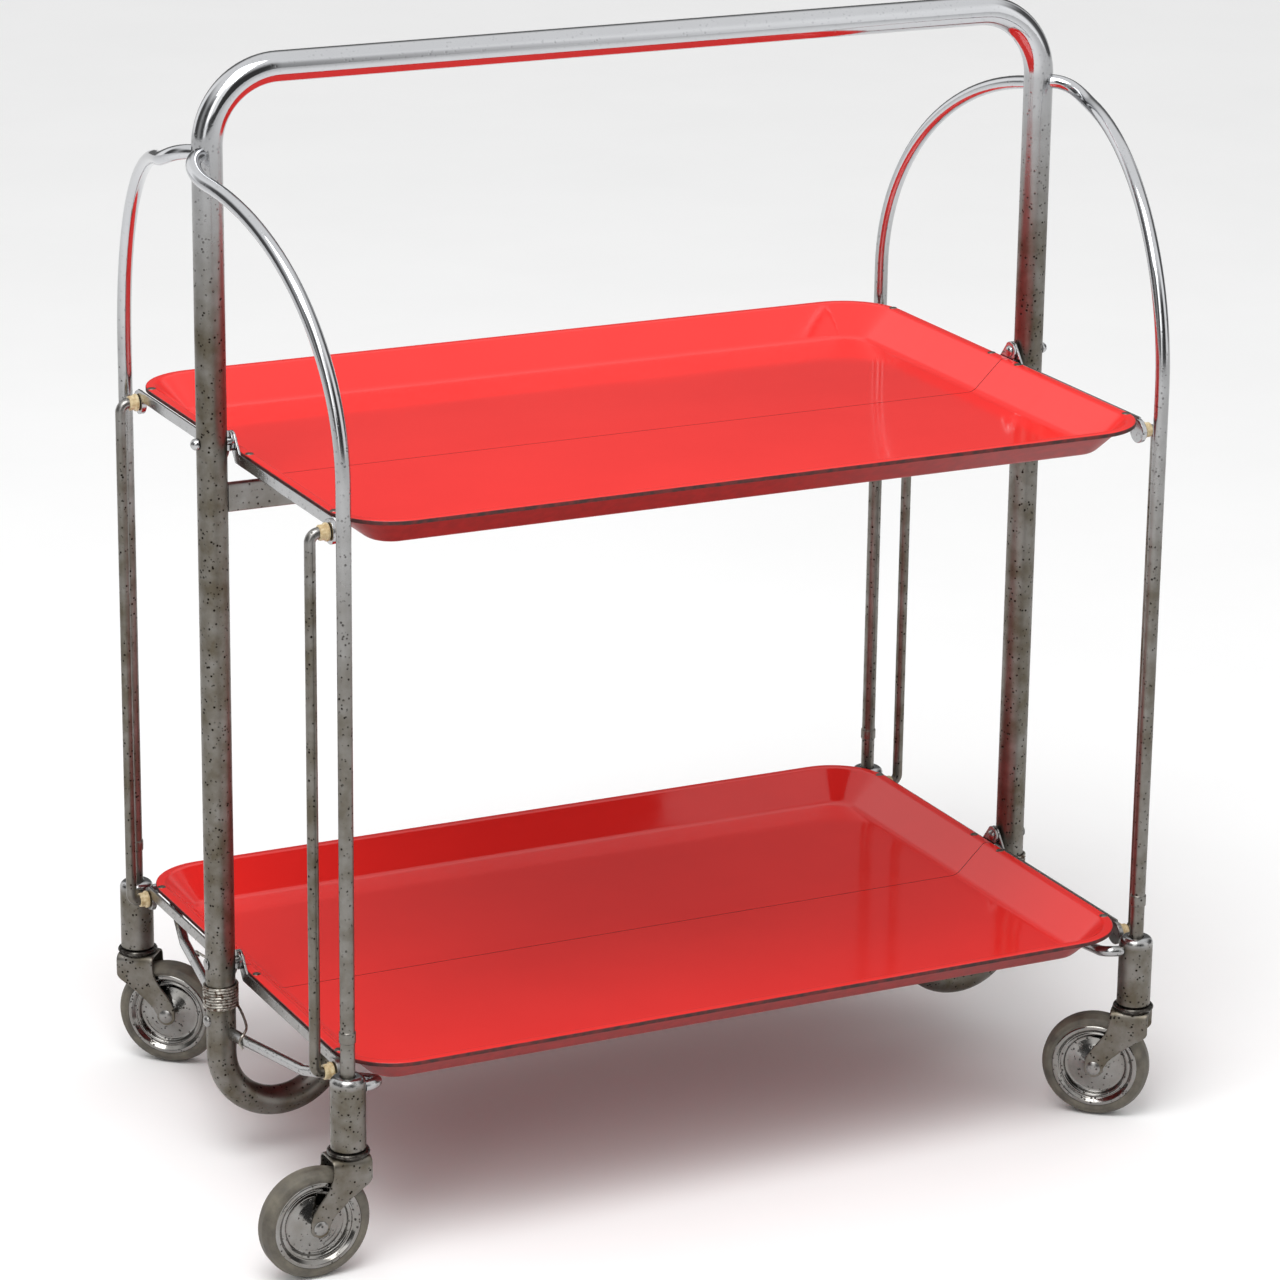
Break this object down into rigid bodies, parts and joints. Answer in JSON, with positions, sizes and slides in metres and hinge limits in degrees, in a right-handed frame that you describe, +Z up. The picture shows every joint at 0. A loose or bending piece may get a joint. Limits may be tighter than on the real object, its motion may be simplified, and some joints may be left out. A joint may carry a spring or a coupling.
{
  "type": "folding serving trolley",
  "caption": "Folding two-tier serving trolley: bent chrome tube frame with carrying bar, split red enamelled trays, arched rod legs and small castors",
  "frame": {"origin": "centre of the footprint, on the floor", "axes": "+Z up, +X along the handle bar, -Y the front long side"},
  "size_m": [0.735, 0.4332, 0.782],
  "materials": {
    "red_enamel": "glossy stoved enamel",
    "rubber": "hard dark rubber",
    "dark_plug": "matt",
    "spring_steel": "dull wire",
    "worn_chrome": "pitted plating",
    "chrome": "polished plating"
  },
  "bodies": {
    "centre_frame": {"centre_frame": "chrome", "cross_bar": "worn_chrome", "frame_plug_left": "dark_plug", "frame_plug_right": "dark_plug", "upper_hinge_bolt_left": "chrome", "upper_hinge_bolt_right": "chrome", "lower_hinge_bolt_left": "chrome", "lower_hinge_bolt_right": "chrome", "spring_left": "spring_steel", "spring_right": "spring_steel", "arched_leg_front_left": "chrome", "socket_front_left": "worn_chrome", "brace_front_left": "worn_chrome", "arched_leg_front_right": "chrome", "socket_front_right": "worn_chrome", "brace_front_right": "worn_chrome", "arched_leg_back_left": "chrome", "socket_back_left": "worn_chrome", "brace_back_left": "worn_chrome", "arched_leg_back_right": "chrome", "socket_back_right": "worn_chrome", "brace_back_right": "worn_chrome"},
    "upper_half_front": {"upper_tray_front": "red_enamel", "upper_rail_front_left": "chrome", "upper_rail_front_right": "chrome"},
    "upper_half_back": {"upper_tray_back": "red_enamel", "upper_rail_back_left": "chrome", "upper_rail_back_right": "chrome"},
    "lower_half_front": {"lower_tray_front": "red_enamel", "lower_rail_front_left": "chrome", "lower_rail_front_right": "chrome"},
    "lower_half_back": {"lower_tray_back": "red_enamel", "lower_rail_back_left": "chrome", "lower_rail_back_right": "chrome"},
    "link_front_left": {"link_rod_front_left": "worn_chrome"},
    "link_front_right": {"link_rod_front_right": "worn_chrome"},
    "link_back_left": {"link_rod_back_left": "worn_chrome"},
    "link_back_right": {"link_rod_back_right": "worn_chrome"},
    "castor_front_left": {"fork_front_left": "worn_chrome", "axle_front_left": "chrome"},
    "wheel_front_left": {"tyre_front_left": "rubber", "wheel_disc_front_left": "worn_chrome"},
    "castor_front_right": {"fork_front_right": "worn_chrome", "axle_front_right": "chrome"},
    "wheel_front_right": {"tyre_front_right": "rubber", "wheel_disc_front_right": "worn_chrome"},
    "castor_back_left": {"fork_back_left": "worn_chrome", "axle_back_left": "chrome"},
    "wheel_back_left": {"tyre_back_left": "rubber", "wheel_disc_back_left": "worn_chrome"},
    "castor_back_right": {"fork_back_right": "worn_chrome", "axle_back_right": "chrome"},
    "wheel_back_right": {"tyre_back_right": "rubber", "wheel_disc_back_right": "worn_chrome"}
  },
  "joints": [
    {"name": "front_fold", "type": "hinge", "parent": "centre_frame", "child": "upper_half_front", "pos_m": [0, 0, 0.521], "axis": [-1, 0, 0], "range_deg": [0, 90]},
    {"name": "back_fold", "type": "hinge", "parent": "centre_frame", "child": "upper_half_back", "pos_m": [0, 0, 0.521], "axis": [1, 0, 0], "range_deg": [0, 90]},
    {"name": "lower_front_fold", "type": "hinge", "parent": "centre_frame", "child": "lower_half_front", "pos_m": [0, 0, 0.1483], "axis": [-1, 0, 0], "range_deg": [0, 90]},
    {"name": "lower_back_fold", "type": "hinge", "parent": "centre_frame", "child": "lower_half_back", "pos_m": [0, 0, 0.1483], "axis": [1, 0, 0], "range_deg": [0, 90]},
    {"name": "link_front_left_pivot", "type": "hinge", "parent": "upper_half_front", "child": "link_front_left", "pos_m": [-0.3041, -0.174, 0.505], "axis": [-1, 0, 0], "range_deg": [-90, 0]},
    {"name": "link_front_right_pivot", "type": "hinge", "parent": "upper_half_front", "child": "link_front_right", "pos_m": [0.3041, -0.174, 0.505], "axis": [-1, 0, 0], "range_deg": [-90, 0]},
    {"name": "link_back_left_pivot", "type": "hinge", "parent": "upper_half_back", "child": "link_back_left", "pos_m": [-0.3041, 0.174, 0.505], "axis": [1, 0, 0], "range_deg": [-90, 0]},
    {"name": "link_back_right_pivot", "type": "hinge", "parent": "upper_half_back", "child": "link_back_right", "pos_m": [0.3041, 0.174, 0.505], "axis": [1, 0, 0], "range_deg": [-90, 0]},
    {"name": "castor_front_left_swivel", "type": "hinge", "parent": "centre_frame", "child": "castor_front_left", "pos_m": [-0.304, -0.199, 0.08], "axis": [0, 0, 1], "continuous": true},
    {"name": "wheel_front_left_spin", "type": "hinge", "parent": "castor_front_left", "child": "wheel_front_left", "pos_m": [-0.329, -0.199, 0.0385], "axis": [0, -1, 0], "continuous": true},
    {"name": "castor_front_right_swivel", "type": "hinge", "parent": "centre_frame", "child": "castor_front_right", "pos_m": [0.304, -0.199, 0.08], "axis": [0, 0, 1], "continuous": true},
    {"name": "wheel_front_right_spin", "type": "hinge", "parent": "castor_front_right", "child": "wheel_front_right", "pos_m": [0.28485, -0.18293, 0.0385], "axis": [-0.6428, -0.766, 0], "continuous": true},
    {"name": "castor_back_left_swivel", "type": "hinge", "parent": "centre_frame", "child": "castor_back_left", "pos_m": [-0.304, 0.199, 0.08], "axis": [0, 0, 1], "continuous": true},
    {"name": "wheel_back_left_spin", "type": "hinge", "parent": "castor_back_left", "child": "wheel_back_left", "pos_m": [-0.28485, 0.18293, 0.0385], "axis": [0.6428, 0.766, 0], "continuous": true},
    {"name": "castor_back_right_swivel", "type": "hinge", "parent": "centre_frame", "child": "castor_back_right", "pos_m": [0.304, 0.199, 0.08], "axis": [0, 0, 1], "continuous": true},
    {"name": "wheel_back_right_spin", "type": "hinge", "parent": "castor_back_right", "child": "wheel_back_right", "pos_m": [0.329, 0.199, 0.0385], "axis": [0, 1, 0], "continuous": true}
  ],
  "couplings": [
    {"joint": "lower_front_fold", "follows": "front_fold", "ratio": 1},
    {"joint": "lower_back_fold", "follows": "back_fold", "ratio": 1},
    {"joint": "link_front_left_pivot", "follows": "front_fold", "ratio": -1},
    {"joint": "link_front_right_pivot", "follows": "front_fold", "ratio": -1},
    {"joint": "link_back_left_pivot", "follows": "back_fold", "ratio": -1},
    {"joint": "link_back_right_pivot", "follows": "back_fold", "ratio": -1}
  ]
}
